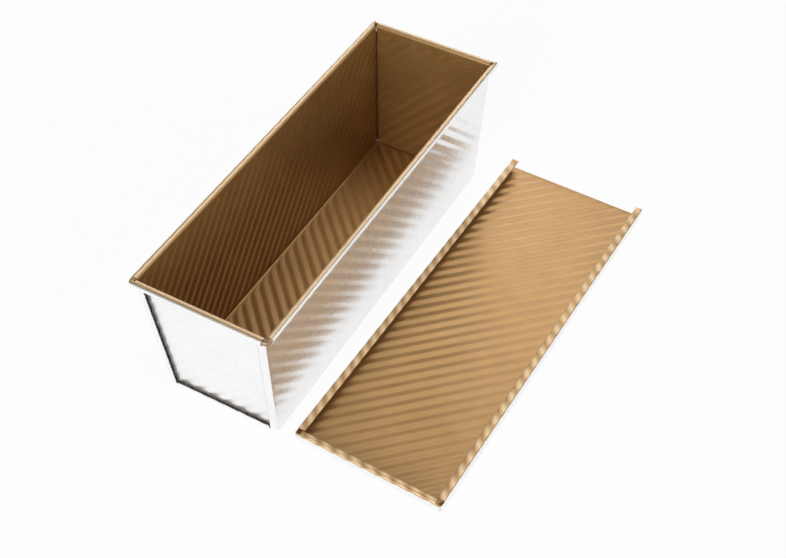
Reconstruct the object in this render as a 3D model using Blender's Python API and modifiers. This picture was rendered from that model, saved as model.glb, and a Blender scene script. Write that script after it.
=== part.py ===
# Ridged loaf pan: a folded toast tin of corrugated steel sheet with its slide-on lid.
# The tin stands on z = 0 with its base centred on the origin and its length along Y.
# The lid lies beside it, inner side up, as it is put down before filling the tin.
#
# Every sheet is made the way a press shop makes it: a flat blank is cut into strips
# along its ridges, trimmed to outline, embossed, and then folded along its bend lines.

import math

import bmesh
import bpy
from mathutils import Matrix, Vector

# Sheet and ridges
SHEET = 0.0006            # thickness of every sheet
RIDGE_PITCH = 0.0130      # ridge to ridge, measured along an edge of the sheet
RIDGE_HEIGHT = 0.0009     # valley to crest, without the sheet's thickness
RIDGE_FADE = 0.0035       # length over which a ridge runs out
RIDGE_ANGLE = math.radians(45)
GAP = 0.0003              # clearance between folded pieces that touch

# Tin
RIM_WIDTH = 0.1222        # outside the rolled rim
RIM_LENGTH = 0.3524
BASE_WIDTH = 0.0996       # outside the walls at the table
BASE_LENGTH = 0.3256      # outside the end seams at the table
HEIGHT = 0.1255           # table to the top of the rim
ROLL = 0.0064             # diameter of the rolled rim
ROLL_TURN = math.radians(285)
ROLL_STEPS = 10
BASE_BEND = 0.0018        # bend radius along the bottom's long edges
BASE_BEND_STEPS = 4
FOLD = 0.0007             # bend radius of seams and flanges, at mid sheet
FOLD_STEPS = 2
FLAT = 0.0015             # smooth margin between a bend and the ridges
PANEL_TOP_FLAT = 0.0050   # smooth margin under the rim of an end panel

# End seams: the wrap's edge folded over the end panel's flange
SEAM_DEPTH = 0.0026       # how far the seam stands out from the panel
SEAM_FACE = 0.0063        # width of the seam's face on the long walls
SEAM_FOOT = 0.0046        # height of the seam's face along the bottom
LIP_WIDTH = 0.0042        # width of the panel's lip behind the seam's face
LIP_FOOT = 0.0030         # height of the panel's lip along the bottom
CORNER_RELIEF = 0.0008    # slot between two folded edges at a corner
MITRE_RELIEF = 0.0005     # each rolled edge ends this far short of the corner's mitre
MITRE_STEP = 3            # the roll is cut back up to this step, to let the wire round the corner
RIM_RELIEF = 0.0012       # slot between the rolled rim and the seam under it

# Rim wire
WIRE_SLACK = 0.0003       # between the wire and the roll around it
WIRE_BEND = 0.0032        # radius of the wire's corners, at its centre
WIRE_CORNER_STEPS = 5
WIRE_ROUND_STEPS = 2

# Lid
LID_WIDTH = 0.1272
LID_LENGTH = 0.3520
LID_DEPTH = 0.0098        # height of the lips over the lid's outer face
LID_BEND = 0.0010         # bend radius of the lips, at mid sheet
LID_BEND_STEPS = 3
LID_LIP = 0.0062          # width of the side lips, hem included
LID_STOP = 0.0042         # width of the stop lip across the front
HEM_BEND = 0.0004         # radius of the hem's fold, at mid sheet
HEM_STEPS = 4
HEM_RETURN = 0.0026       # length of the hem's turned-in edge
LID_X = 0.1325            # where the lid lies
LID_Y = 0.0134
LID_TURN = math.radians(-1.57)

# Places worked out from the sizes above
SKIN = SHEET / 2
STEP = RIDGE_PITCH * math.cos(RIDGE_ANGLE) / 4
CREST = RIDGE_HEIGHT / 2
FLOOR = CREST + SKIN                                  # mid sheet of a panel lying on its crests
ROLL_AXIS = HEIGHT - ROLL / 2
ROLL_RADIUS = ROLL / 2 - SKIN
WALL_TOP = RIM_WIDTH / 2 - ROLL + SKIN                # mid sheet of a long wall at the roll's axis
WALL_FOOT = BASE_WIDTH / 2 - SKIN
WALL_LEAN = math.atan2(WALL_TOP - WALL_FOOT, ROLL_AXIS - FLOOR)
PANEL_TOP = RIM_LENGTH / 2 - ROLL + SKIN
PANEL_FOOT = BASE_LENGTH / 2 - SEAM_DEPTH - SKIN
PANEL_LEAN = math.atan2(PANEL_TOP - PANEL_FOOT, ROLL_AXIS - FLOOR)
NOTCH_HEIGHT = HEIGHT - ROLL - RIM_RELIEF             # the seams end below the rolled rim
RIM_STOP = RIM_LENGTH / 2 - ROLL - CORNER_RELIEF      # the long walls' roll ends short of the corner
WIRE_X = (RIM_WIDTH - ROLL) / 2                       # centre lines of the rim wire
WIRE_Y = (RIM_LENGTH - ROLL) / 2
TINY = 1e-6
SNAP = 2e-5                                           # a cut passes through corners this near
SAME_PLANE = math.radians(0.3)                        # faces closer than this are joined

COATING = (0.52, 0.33, 0.14, 1.0)
STEEL = (0.80, 0.80, 0.81, 1.0)
WIRE_STEEL = (0.55, 0.55, 0.56, 1.0)


class Fold:
    """A folded edge seen end on: straight runs and bends, walked from a start point."""

    def __init__(self, x, y, heading):
        self.heading = heading
        self.stops = [0.0]
        self.points = [Vector((x, y))]

    def straight(self, length):
        way = Vector((math.cos(self.heading), math.sin(self.heading)))
        self.stops.append(self.stops[-1] + length)
        self.points.append(self.points[-1] + way * length)
        return self

    def bend(self, radius, angle, steps):
        """Turn left for a positive angle, on chords that touch the arc's ends."""
        part = angle / steps
        for _ in range(steps):
            self.heading += part / 2
            self.straight(2 * radius * math.sin(abs(part) / 2))
            self.heading += part / 2
        return self

    def run(self, distance):
        for index in range(1, len(self.stops) - 1):
            if distance < self.stops[index] - TINY:
                return index - 1
        return len(self.stops) - 2

    def at(self, distance):
        index = self.run(distance)
        first, last = self.points[index], self.points[index + 1]
        share = (distance - self.stops[index]) / (self.stops[index + 1] - self.stops[index])
        return first + (last - first) * share

    def left(self, distance):
        index = self.run(distance)
        way = (self.points[index + 1] - self.points[index]).normalized()
        return Vector((-way.y, way.x))


def ramp(value, start, end):
    return min(1.0, max(0.0, (value - start) / (end - start)))


def ridge(phase):
    """Height of the wave, from -1 to 1, with flat crests; a valley lies at phase 0."""
    turn = (phase / (4 * STEP)) % 1.0
    triangle = 1 - abs(4 * turn - 2)
    return min(1.0, max(-1.0, 2 * triangle))


def strips(reach, turn):
    """A flat square blank cut into strips along the ridges, one flank or crest to a strip."""
    count = 2 * math.ceil(reach / STEP) + 1
    mesh = bmesh.new()
    size = Matrix.Diagonal((count * STEP, 2 * reach, 1.0, 1.0))
    bmesh.ops.create_grid(mesh, x_segments=count, y_segments=1, size=0.5,
                          matrix=Matrix.Rotation(turn, 4, "Z") @ size)
    return mesh


def score(mesh, first, last, where=None):
    """Cut the blank along the line through two points, in the faces that where picks."""
    faces = [f for f in mesh.faces if where is None or where(f.calc_center_median())]
    edges = {e for f in faces for e in f.edges}
    verts = {v for f in faces for v in f.verts}
    along = Vector((last[0] - first[0], last[1] - first[1], 0.0)).normalized()
    bmesh.ops.bisect_plane(mesh, geom=faces + list(edges) + list(verts), dist=SNAP,
                           plane_co=(first[0], first[1], 0.0),
                           plane_no=(-along.y, along.x, 0.0))


def score_bends(mesh, stops):
    for stop in stops:
        for place in (-stop, stop):
            score(mesh, (place, -1), (place, 1))


def trim(mesh, keep):
    waste = [f for f in mesh.faces if not keep(f.calc_center_median())]
    bmesh.ops.delete(mesh, geom=waste, context="FACES")


def form(mesh, shape, flip=False):
    """Emboss and fold the blank, then join the faces that lie in one plane."""
    for vert in mesh.verts:
        vert.co = shape(vert.co.x, vert.co.y)
    if flip:
        bmesh.ops.reverse_faces(mesh, faces=mesh.faces)
    mesh.normal_update()
    bmesh.ops.dissolve_limit(mesh, angle_limit=SAME_PLANE, verts=mesh.verts,
                             edges=mesh.edges)


def metal(name, colour, roughness, metallic):
    material = bpy.data.materials.new(name)
    material.use_nodes = True
    shader = material.node_tree.nodes["Principled BSDF"]
    shader.inputs["Base Color"].default_value = colour
    shader.inputs["Roughness"].default_value = roughness
    shader.inputs["Metallic"].default_value = metallic
    material.diffuse_color = colour
    return material


def sheet_object(name, mesh, collection):
    """A folded sheet with its thickness: coated on the inner side, bare steel outside."""
    data = bpy.data.meshes.new(name)
    mesh.to_mesh(data)
    mesh.free()
    data.materials.append(metal(name + "_coating", COATING, 0.42, 0.7))
    data.materials.append(metal(name + "_steel", STEEL, 0.3, 1.0))
    sheet = bpy.data.objects.new(name, data)
    collection.objects.link(sheet)
    skin = sheet.modifiers.new("sheet thickness", "SOLIDIFY")
    skin.thickness = SHEET
    skin.offset = 0.0
    skin.use_even_offset = True
    skin.material_offset = 1
    skin.material_offset_rim = 1
    return sheet


def panel_line(height):
    """Distance of an end panel's mid sheet from the centre, at a height over the table."""
    return PANEL_FOOT + (height - FLOOR) * math.tan(PANEL_LEAN)


def wall_line(height):
    """Distance of a long wall's mid sheet from the centre, at a height over the table."""
    return WALL_FOOT + (height - FLOOR) * math.tan(WALL_LEAN)


def body_wrap(collection):
    """Both long walls and the bottom: one sheet with rolled rims and folded end seams."""
    corner = BASE_BEND * math.tan((math.pi / 2 - WALL_LEAN) / 2)
    wall = math.hypot(WALL_TOP - WALL_FOOT, ROLL_AXIS - FLOOR) - corner
    across = Fold(0.0, FLOOR, 0.0)
    across.straight(WALL_FOOT - corner)
    bottom_edge = across.stops[-1]
    across.bend(BASE_BEND, math.pi / 2 - WALL_LEAN, BASE_BEND_STEPS)
    wall_start = across.stops[-1]
    across.straight((NOTCH_HEIGHT - across.points[-1].y) / math.cos(WALL_LEAN))
    notch = across.stops[-1]
    across.straight(wall - (notch - wall_start))
    wall_end = across.stops[-1]
    across.bend(ROLL_RADIUS, -ROLL_TURN, ROLL_STEPS)
    reach = across.stops[-1]
    mitre_start = across.stops[MITRE_STEP - ROLL_STEPS - 1]

    bed = SKIN + FLAT                     # the panel's flange lies on a smooth band
    seam = Fold(0.0, 0.0, 0.0)
    seam.straight(bed + SEAM_DEPTH - FOLD)
    band = seam.stops[-1]
    seam.bend(FOLD, math.pi / 2, FOLD_STEPS)
    seam.straight(SEAM_FACE - SKIN - FOLD)
    side_edge = seam.stops[-1]
    foot_edge = side_edge - (SEAM_FACE - SEAM_FOOT)
    foot_reach = bottom_edge + corner - (SEAM_FACE + CORNER_RELIEF)

    def band_line(distance):
        return panel_line(across.at(distance).y) - bed

    def rim_end(distance, mitred):
        if mitred:
            return WIRE_Y + across.at(distance).x - WIRE_X - MITRE_RELIEF
        return RIM_STOP

    def fade(distance, length):
        low = ramp(distance, wall_start + FLAT, wall_start + FLAT + RIDGE_FADE)
        bottom = ramp(bottom_edge - FLAT - distance, 0.0, RIDGE_FADE)
        high = ramp(wall_end - FLAT - distance, 0.0, RIDGE_FADE)
        end = ramp(band_line(min(distance, wall_end)) - length, 0.0, RIDGE_FADE)
        return min(max(low, bottom), high, end)

    def shape(s, y):
        side, end = math.copysign(1, s), math.copysign(1, y)
        distance, length = abs(s), abs(y)
        place, left = across.at(distance), across.left(distance)
        rise = CREST * ridge((s + y) * math.cos(RIDGE_ANGLE)) * fade(distance, length)
        beyond = length - band_line(min(distance, wall_end))
        if distance <= notch + TINY and beyond > 0:
            ahead = seam.at(beyond)
            rise = ahead.y
            length = band_line(distance) + ahead.x + rise * left.y * math.tan(PANEL_LEAN)
        return Vector((side * (place.x + left.x * rise), end * length, place.y + left.y * rise))

    def keep(centre):
        distance, length = abs(centre.x), abs(centre.y)
        if distance > reach:
            return False
        if distance > notch:
            return length < rim_end(distance, distance > mitre_start)
        beyond = length - band_line(distance)
        if beyond < band:
            return True
        if distance > wall_start:
            return beyond < side_edge
        return distance < foot_reach and beyond < foot_edge

    mesh = strips(reach + RIM_LENGTH, RIDGE_ANGLE)
    trim(mesh, lambda c: abs(c.x) < reach + RIM_LENGTH and abs(c.y) < RIM_LENGTH)
    fades = [bottom_edge - FLAT, bottom_edge - FLAT - RIDGE_FADE, wall_start + FLAT,
             wall_start + FLAT + RIDGE_FADE, wall_end - FLAT, wall_end - FLAT - RIDGE_FADE]
    score_bends(mesh, across.stops + fades)
    runs = list(zip(across.stops[:-1], across.stops[1:]))
    for start, stop in runs:
        for side in (-1, 1):
            def inside(centre, start=start, stop=stop, side=side):
                return start < side * centre.x < stop

            for end in (-1, 1):
                if stop <= wall_end + TINY:
                    for beyond in [-RIDGE_FADE] + seam.stops + [foot_edge]:
                        score(mesh, (side * start, end * (band_line(start) + beyond)),
                              (side * stop, end * (band_line(stop) + beyond)), inside)
                if start >= notch - TINY:
                    mitred = start > mitre_start - TINY
                    score(mesh, (side * start, end * rim_end(start, mitred)),
                          (side * stop, end * rim_end(stop, mitred)), inside)
    for side in (-1, 1):
        score(mesh, (side * foot_reach, -1), (side * foot_reach, 1),
              lambda c: abs(c.x) < bottom_edge and abs(c.y) > band_line(0.0) + band)
    trim(mesh, keep)
    form(mesh, shape)
    return sheet_object("body_wrap", mesh, collection)


def end_panel(name, end, collection):
    """One short wall: rolled over the wire on top, flanged into the seam on three sides."""
    foot_height = FLOOR + SKIN + GAP + SKIN + FOLD * (1 + math.sin(PANEL_LEAN))
    face = (ROLL_AXIS - foot_height) / math.cos(PANEL_LEAN)
    up = math.pi / 2 - PANEL_LEAN
    upright = Fold(panel_line(foot_height), foot_height, up)
    upright.straight((NOTCH_HEIGHT - foot_height) / math.cos(PANEL_LEAN))
    notch = upright.stops[-1]
    upright.straight(face - notch)
    upright.bend(ROLL_RADIUS, -ROLL_TURN, ROLL_STEPS)
    reach = upright.stops[-1]
    mitre_start = upright.stops[MITRE_STEP - ROLL_STEPS - 1]

    depth = SEAM_DEPTH - SHEET - GAP                  # panel's mid sheet to its lip's
    foot = Fold(panel_line(foot_height), foot_height, up - math.pi)
    foot.bend(FOLD, math.pi - up, FOLD_STEPS)
    foot.straight(depth - (foot.points[-1].x - foot.points[0].x) - FOLD)
    foot.bend(FOLD, up, FOLD_STEPS)
    foot_edge = foot.stops[-1]
    foot.straight(LIP_FOOT - FOLD)
    side = Fold(0.0, 0.0, 0.0)
    side.bend(FOLD, math.pi / 2, FOLD_STEPS)
    side.straight(depth * math.cos(PANEL_LEAN) - 2 * FOLD)
    side.bend(FOLD, math.pi / 2, FOLD_STEPS)
    side.straight(LIP_WIDTH - FOLD)

    def side_line(rise):
        height = upright.at(min(max(rise, 0.0), face)).y
        return wall_line(height) - SKIN / math.cos(WALL_LEAN) - GAP - SKIN - FOLD

    cut_half = wall_line(ROLL_AXIS) - SKIN - GAP
    foot_half = side_line(0.0) - CORNER_RELIEF
    lip_half = side_line(0.0) + FOLD - LIP_WIDTH - CORNER_RELIEF
    flange_start = CORNER_RELIEF + FOLD
    roll_start = notch + CORNER_RELIEF

    def roll_half(rise):
        if rise < mitre_start - TINY:
            return cut_half
        return WIRE_X + upright.at(rise).x - WIRE_Y - MITRE_RELIEF

    def fade(across, rise):
        low = ramp(rise - FLAT, 0.0, RIDGE_FADE)
        high = ramp(face - PANEL_TOP_FLAT - rise, 0.0, RIDGE_FADE)
        edge = ramp(side_line(rise) - FLAT - across, 0.0, RIDGE_FADE)
        return min(low, high, edge)

    def shape(x, rise):
        across, hand = abs(x), math.copysign(1, x)
        if rise < 0:
            out = foot.at(-rise)
            return Vector((x, end * out.x, out.y))
        place, left = upright.at(rise), upright.left(rise)
        height = -CREST * ridge((x - rise) * math.cos(RIDGE_ANGLE)) * fade(across, rise)
        beyond = across - side_line(rise)
        if rise <= notch + TINY and beyond > 0:
            turned = side.at(beyond)
            height, across = -turned.y, side_line(rise) + turned.x
        return Vector((hand * across, end * (place.x + left.x * height),
                       place.y + left.y * height))

    def keep(centre):
        across, rise = abs(centre.x), centre.y
        if rise > notch:
            half = roll_half(rise) if rise > roll_start else side_line(notch)
            return rise < reach and across < half
        if rise < 0:
            half = lip_half if -rise > foot_edge else foot_half
            return -rise < foot.stops[-1] and across < half
        beyond = across - side_line(rise)
        return beyond < 0 or (rise > flange_start and beyond < side.stops[-1])

    mesh = strips(reach + RIM_WIDTH, -RIDGE_ANGLE)
    trim(mesh, lambda c: abs(c.x) < RIM_WIDTH and abs(c.y) < reach + RIM_WIDTH)
    rises = upright.stops + [FLAT, FLAT + RIDGE_FADE, face - PANEL_TOP_FLAT,
                             face - PANEL_TOP_FLAT - RIDGE_FADE, flange_start, roll_start]
    for rise in rises + [-stop for stop in foot.stops[1:]]:
        score(mesh, (-1, rise), (1, rise))
    for hand in (-1, 1):
        for beyond in [-FLAT, -FLAT - RIDGE_FADE] + side.stops:
            score(mesh, (hand * (side_line(0.0) + beyond), 0.0),
                  (hand * (side_line(notch) + beyond), notch), lambda c: 0 < c.y < notch)
        for half in (side_line(notch), cut_half):
            score(mesh, (hand * half, 0), (hand * half, 1), lambda c: notch < c.y < mitre_start)
        for start, stop in zip(upright.stops[:-1], upright.stops[1:]):
            if start > mitre_start - TINY:
                score(mesh, (hand * roll_half(start), start), (hand * roll_half(stop), stop),
                      lambda c, start=start, stop=stop: start < c.y < stop)
        for half in (foot_half, lip_half):
            score(mesh, (hand * half, 0), (hand * half, 1), lambda c: c.y < 0)
    trim(mesh, keep)
    form(mesh, shape, flip=end < 0)
    return sheet_object(name, mesh, collection)


def rim_wire(collection):
    """The steel rod inside the rolled rim: one loop with rounded corners."""
    points = []
    for index, (side, end) in enumerate(((1, 1), (-1, 1), (-1, -1), (1, -1))):
        middle = Vector((side * (WIRE_X - WIRE_BEND), end * (WIRE_Y - WIRE_BEND), ROLL_AXIS))
        for step in range(WIRE_CORNER_STEPS + 1):
            angle = math.pi / 2 * (index + step / WIRE_CORNER_STEPS)
            points.append(middle + WIRE_BEND * Vector((math.cos(angle), math.sin(angle), 0.0)))
    curve = bpy.data.curves.new("rim_wire", "CURVE")
    curve.dimensions = "3D"
    curve.bevel_depth = ROLL / 2 - SHEET - WIRE_SLACK
    curve.bevel_resolution = WIRE_ROUND_STEPS
    spline = curve.splines.new("POLY")
    spline.points.add(len(points) - 1)
    for target, point in zip(spline.points, points):
        target.co = (*point, 1.0)
    spline.use_cyclic_u = True
    curve.materials.append(metal("rim_wire_steel", WIRE_STEEL, 0.35, 1.0))
    wire = bpy.data.objects.new("rim_wire", curve)
    collection.objects.link(wire)
    return wire


def lid(collection):
    """The slide-on lid: hemmed lips along both sides and a stop lip across the front."""
    rise = LID_DEPTH - SKIN - FLOOR

    def lip(half, width):
        """The folds from the lid's centre line out to the hemmed edge of a lip."""
        fold = Fold(0.0, FLOOR, 0.0)
        fold.straight(half - SKIN - LID_BEND)
        fold.bend(LID_BEND, math.pi / 2, LID_BEND_STEPS)
        fold.straight(rise - 2 * LID_BEND)
        fold.bend(LID_BEND, math.pi / 2, LID_BEND_STEPS)
        fold.straight(width - SHEET - LID_BEND - HEM_BEND)
        fold.bend(HEM_BEND, math.pi, HEM_STEPS)
        fold.straight(HEM_RETURN)
        return fold

    across = lip(LID_WIDTH / 2, LID_LIP)
    along = lip(LID_LENGTH / 2, LID_STOP)
    side_bend, side_wall = across.stops[1], across.stops[1 + LID_BEND_STEPS]
    side_top = across.stops[2 + LID_BEND_STEPS]
    stop_bend, stop_top = along.stops[1], along.stops[2 + LID_BEND_STEPS]
    stop_lip_half = LID_WIDTH / 2 - LID_LIP + CORNER_RELIEF
    lip_start = LID_LENGTH / 2 - LID_STOP - CORNER_RELIEF

    def fade(distance, y):
        edge = ramp(side_bend - FLAT - distance, 0.0, RIDGE_FADE)
        front = ramp(y + stop_bend - FLAT, 0.0, RIDGE_FADE)
        back = ramp(LID_LENGTH / 2 - FLAT - y, 0.0, RIDGE_FADE)
        return min(edge, front, back)

    def shape(s, y):
        side, distance = math.copysign(1, s), abs(s)
        if y < -stop_bend and distance < side_bend + TINY:
            place = along.at(-y)
            return Vector((s, -place.x, place.y))
        place, left = across.at(distance), across.left(distance)
        height = CREST * ridge((s - y) * math.cos(RIDGE_ANGLE)) * fade(distance, y)
        return Vector((side * (place.x + left.x * height), y, place.y + left.y * height))

    def keep(centre):
        distance, y = abs(centre.x), centre.y
        if y > LID_LENGTH / 2 or distance > across.stops[-1] or -y > along.stops[-1]:
            return False
        if distance < side_bend:
            return -y < stop_top or distance < stop_lip_half
        if distance < side_wall:
            return y > -stop_bend
        if distance < side_top:
            return y > -LID_LENGTH / 2
        return y > -lip_start

    mesh = strips(across.stops[-1] + LID_LENGTH, -RIDGE_ANGLE)
    trim(mesh, lambda c: abs(c.x) < LID_LENGTH and abs(c.y) < LID_LENGTH)
    score_bends(mesh, across.stops[1:] + [side_bend - FLAT, side_bend - FLAT - RIDGE_FADE,
                                          stop_lip_half])
    ends = [LID_LENGTH / 2, LID_LENGTH / 2 - FLAT, LID_LENGTH / 2 - FLAT - RIDGE_FADE,
            FLAT - stop_bend, FLAT + RIDGE_FADE - stop_bend, -LID_LENGTH / 2, -lip_start]
    for y in ends + [-stop for stop in along.stops[1:]]:
        score(mesh, (-1, y), (1, y))
    trim(mesh, keep)
    form(mesh, shape)
    return sheet_object("lid", mesh, collection)


def main():
    for thing in list(bpy.data.objects):
        bpy.data.objects.remove(thing, do_unlink=True)
    pan = bpy.data.collections.new("ridged_loaf_pan")
    bpy.context.scene.collection.children.link(pan)
    body_wrap(pan)
    end_panel("front_end_panel", -1, pan)
    end_panel("back_end_panel", 1, pan)
    rim_wire(pan)
    cover = lid(pan)
    cover.location = (LID_X, LID_Y, 0.0)
    cover.rotation_euler = (0.0, 0.0, LID_TURN)


main()
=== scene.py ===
import math

import bmesh
import bpy
from mathutils import Matrix, Vector


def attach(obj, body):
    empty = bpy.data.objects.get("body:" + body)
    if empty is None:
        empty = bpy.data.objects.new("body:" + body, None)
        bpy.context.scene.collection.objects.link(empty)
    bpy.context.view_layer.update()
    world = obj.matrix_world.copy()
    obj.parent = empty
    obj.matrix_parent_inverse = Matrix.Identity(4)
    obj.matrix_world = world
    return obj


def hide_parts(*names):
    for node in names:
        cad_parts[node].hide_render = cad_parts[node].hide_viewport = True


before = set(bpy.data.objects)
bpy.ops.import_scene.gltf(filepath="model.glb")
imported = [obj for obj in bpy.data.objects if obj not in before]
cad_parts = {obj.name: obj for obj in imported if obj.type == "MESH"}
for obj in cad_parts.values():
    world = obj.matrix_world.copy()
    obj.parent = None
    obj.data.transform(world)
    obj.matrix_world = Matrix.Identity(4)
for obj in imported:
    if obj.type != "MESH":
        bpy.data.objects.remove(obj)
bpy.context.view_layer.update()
scene = bpy.context.scene
print("frame loaded:", sorted(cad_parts))

# The sheet metal that the tin and the lid are pressed from. Lengths are in metres.
sheet = {
    "thickness": 0.0006,
    "ridgePitch": 0.0130,        # along an edge of the sheet
    "ridgeTurn": math.radians(45),
    "stripsPerRidge": 12,
    "flankStraightness": 0.96,   # near 0 it's a sine wave, near 1 a zigzag
    "gap": 0.0003,
    "fold": 0.0007,
    "foldSteps": 4,
    "lipBend": 0.0009,
    "snap": 0.00001,             # a cut passes through corners this near
    "widest": 1.5,               # sheet thicknesses between the two faces at a sharp fold
    "sharpFrom": math.radians(38),   # edges sharper than this are drawn hard
    "farOff": 50.0,              # mm from a seam where no painted shade reaches
}
skin = sheet["thickness"] / 2
ridgeAcross = sheet["ridgePitch"] * math.cos(sheet["ridgeTurn"])
tiny = 1e-6                      # metres, for comparing places
mmPerMetre = 1000


class FoldLine:
    # a folded edge seen end on: straight runs and bends, walked from a start point
    def __init__(self, x, y, heading):
        self.heading = heading
        self.stops = [0.0]
        self.points = [Vector((x, y))]

    def straight(self, length):
        way = Vector((math.cos(self.heading), math.sin(self.heading)))
        self.stops.append(self.stops[-1] + length)
        self.points.append(self.points[-1] + way * length)
        return self

    def bend(self, radius, angle, steps):
        part = angle / steps
        for _ in range(steps):
            self.heading += part / 2
            self.straight(2 * radius * math.sin(abs(part) / 2))
            self.heading += part / 2
        return self

    def run(self, distance):
        for index in range(1, len(self.stops) - 1):
            if distance < self.stops[index] - tiny:
                return index - 1
        return len(self.stops) - 2

    def at(self, distance):
        index = self.run(distance)
        first, last = self.points[index], self.points[index + 1]
        share = (distance - self.stops[index]) / (self.stops[index + 1] - self.stops[index])
        return first + (last - first) * share

    def left(self, distance):
        index = self.run(distance)
        way = (self.points[index + 1] - self.points[index]).normalized()
        return Vector((-way.y, way.x))


def ease(value, start, end):
    # 0 before start, 1 after end and smooth between
    share = min(1.0, max(0.0, (value - start) / (end - start)))
    return share * share * (3 - 2 * share)


def ridgeWave(phase):
    # straight flanks with rounded crests and valleys; a valley lies at phase 0
    wave = -math.cos(2 * math.pi * phase / ridgeAcross)
    return math.asin(sheet["flankStraightness"] * wave) / math.asin(sheet["flankStraightness"])


def pressedHeight(phase, crest, room, outRoom=None):
    # room runs from 0 at a flat margin to 1 where the ridge is full, so its end is a rounded finger;
    # outRoom is the same for the ridges that stand out on the steel side
    wave = ridgeWave(phase)
    if wave < 0 and outRoom is not None:
        room = outRoom
    return math.copysign(max(0.0, abs(wave) - (1 - room)), wave) * crest


def makeStrips(reach, turn):
    step = ridgeAcross / sheet["stripsPerRidge"]
    count = 2 * math.ceil(reach / step)
    mesh = bmesh.new()
    size = Matrix.Diagonal((count * step, 2 * reach, 1.0, 1.0))
    bmesh.ops.create_grid(mesh, x_segments=count, y_segments=1, size=0.5,
                          matrix=Matrix.Rotation(turn, 4, "Z") @ size)
    return mesh


def geometryWhere(mesh, where=None):
    # the faces whose middle passes the test, with their edges and corners
    faces = [f for f in mesh.faces if where is None or where(f.calc_center_median())]
    edges = {e for f in faces for e in f.edges}
    verts = {v for f in faces for v in f.verts}
    return faces + list(edges) + list(verts)


def scoreLines(mesh, geom, lines):
    # cuts the flat blank along each line, given by two points, and hands the cut geometry on
    for first, last in lines:
        way = Vector((last[0] - first[0], last[1] - first[1], 0.0)).normalized()
        geom = bmesh.ops.bisect_plane(mesh, geom=geom, dist=sheet["snap"],
                                      plane_co=(first[0], first[1], 0.0),
                                      plane_no=(-way.y, way.x, 0.0))["geom"]
    return geom


def trimBlank(mesh, keep):
    waste = [f for f in mesh.faces if not keep(f.calc_center_median())]
    bmesh.ops.delete(mesh, geom=waste, context="FACES")


def across(values, both=True):
    # lines along the blank's length at these distances from its middle
    places = sorted(set(values) | ({-v for v in values} if both else set()))
    return [((p, -1.0), (p, 1.0)) for p in places]


def along(values):
    # lines across the blank at these places of its length
    return [((-1.0, v), (1.0, v)) for v in values]


def steps(start, end, count):
    return [start + (end - start) * i / count for i in range(count + 1)]


def sheetPiece(name, mesh, shape, coats, shadePlace, materials, flip=False):
    # folds the blank, gives it its thickness and records how much coating each side carries, values above 1
    # standing for a painted highlight, and how far each point is from a seam (mm) and across the ridges
    # (turns), which place the painted seam shade
    inLayer = mesh.verts.layers.float.new("coatIn")
    outLayer = mesh.verts.layers.float.new("coatOut")
    placeLayer = mesh.verts.layers.float_vector.new("shadePlace")
    for vert in mesh.verts:
        x, y = vert.co.x, vert.co.y
        vert[inLayer], vert[outLayer] = coats(x, y)
        vert[placeLayer] = shadePlace(x, y)
        vert.co = shape(x, y)
    if flip:
        bmesh.ops.reverse_faces(mesh, faces=mesh.faces)
    mesh.normal_update()
    flat = bpy.data.meshes.new(name + "Flat")
    mesh.to_mesh(flat)
    mesh.free()
    for material in materials:
        flat.materials.append(material)
    draft = bpy.data.objects.new(name + "Draft", flat)
    scene.collection.objects.link(draft)
    thick = draft.modifiers.new("thickness", "SOLIDIFY")
    thick.thickness = sheet["thickness"]
    thick.offset = 0.0
    thick.use_even_offset = True
    thick.material_offset = 1
    thick.material_offset_rim = 1
    data = bpy.data.meshes.new_from_object(draft.evaluated_get(bpy.context.evaluated_depsgraph_get()))
    bpy.data.objects.remove(draft, do_unlink=True)
    half = len(flat.vertices)
    limit = sheet["thickness"] * sheet["widest"]
    for index in range(half):
        # a sliver beside a cut would otherwise throw a spike here
        first, last = data.vertices[index], data.vertices[half + index]
        width = (last.co - first.co).length
        if width > limit:
            middle, share = (first.co + last.co) / 2, sheet["thickness"] / width
            first.co, last.co = middle.lerp(first.co, share), middle.lerp(last.co, share)
    inner = [0.0] * len(data.vertices)
    outer = [0.0] * len(data.vertices)
    data.attributes["coatIn"].data.foreach_get("value", inner)
    data.attributes["coatOut"].data.foreach_get("value", outer)
    coat = data.attributes.new("coat", "FLOAT", "POINT")
    coat.data.foreach_set("value", inner[:half] + outer[half:])
    data.attributes.remove(data.attributes["coatIn"])
    data.attributes.remove(data.attributes["coatOut"])
    data.name = name
    data.shade_smooth()
    data.set_sharp_from_angle(angle=sheet["sharpFrom"])
    piece = bpy.data.objects.new(name, data)
    scene.collection.objects.link(piece)
    return piece


# Shader groups that several finishes share

def newGroup(name, inputs, outputs):
    tree = bpy.data.node_groups.new(name, "ShaderNodeTree")
    for label, kind, value in inputs:
        socket = tree.interface.new_socket(label, in_out="INPUT", socket_type=kind)
        if value is not None:
            socket.default_value = value
    for label, kind in outputs:
        tree.interface.new_socket(label, in_out="OUTPUT", socket_type=kind)
    return tree, tree.nodes.new("NodeGroupInput"), tree.nodes.new("NodeGroupOutput")


def addMath(tree, operation, first, second=None, clamp=False):
    node = tree.nodes.new("ShaderNodeMath")
    node.operation = operation
    node.use_clamp = clamp
    for index, value in enumerate((first, second)):
        if value is None:
            continue
        if isinstance(value, (int, float)):
            node.inputs[index].default_value = value
        else:
            tree.links.new(value, node.inputs[index])
    return node.outputs[0]


def addNoise(tree, vector, scale, detail=3.0, roughness=0.5):
    node = tree.nodes.new("ShaderNodeTexNoise")
    node.inputs["Detail"].default_value = detail
    node.inputs["Roughness"].default_value = roughness
    tree.links.new(vector, node.inputs["Vector"])
    if isinstance(scale, (int, float)):
        node.inputs["Scale"].default_value = scale
    else:
        tree.links.new(scale, node.inputs["Scale"])
    return node.outputs["Fac"]


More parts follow.
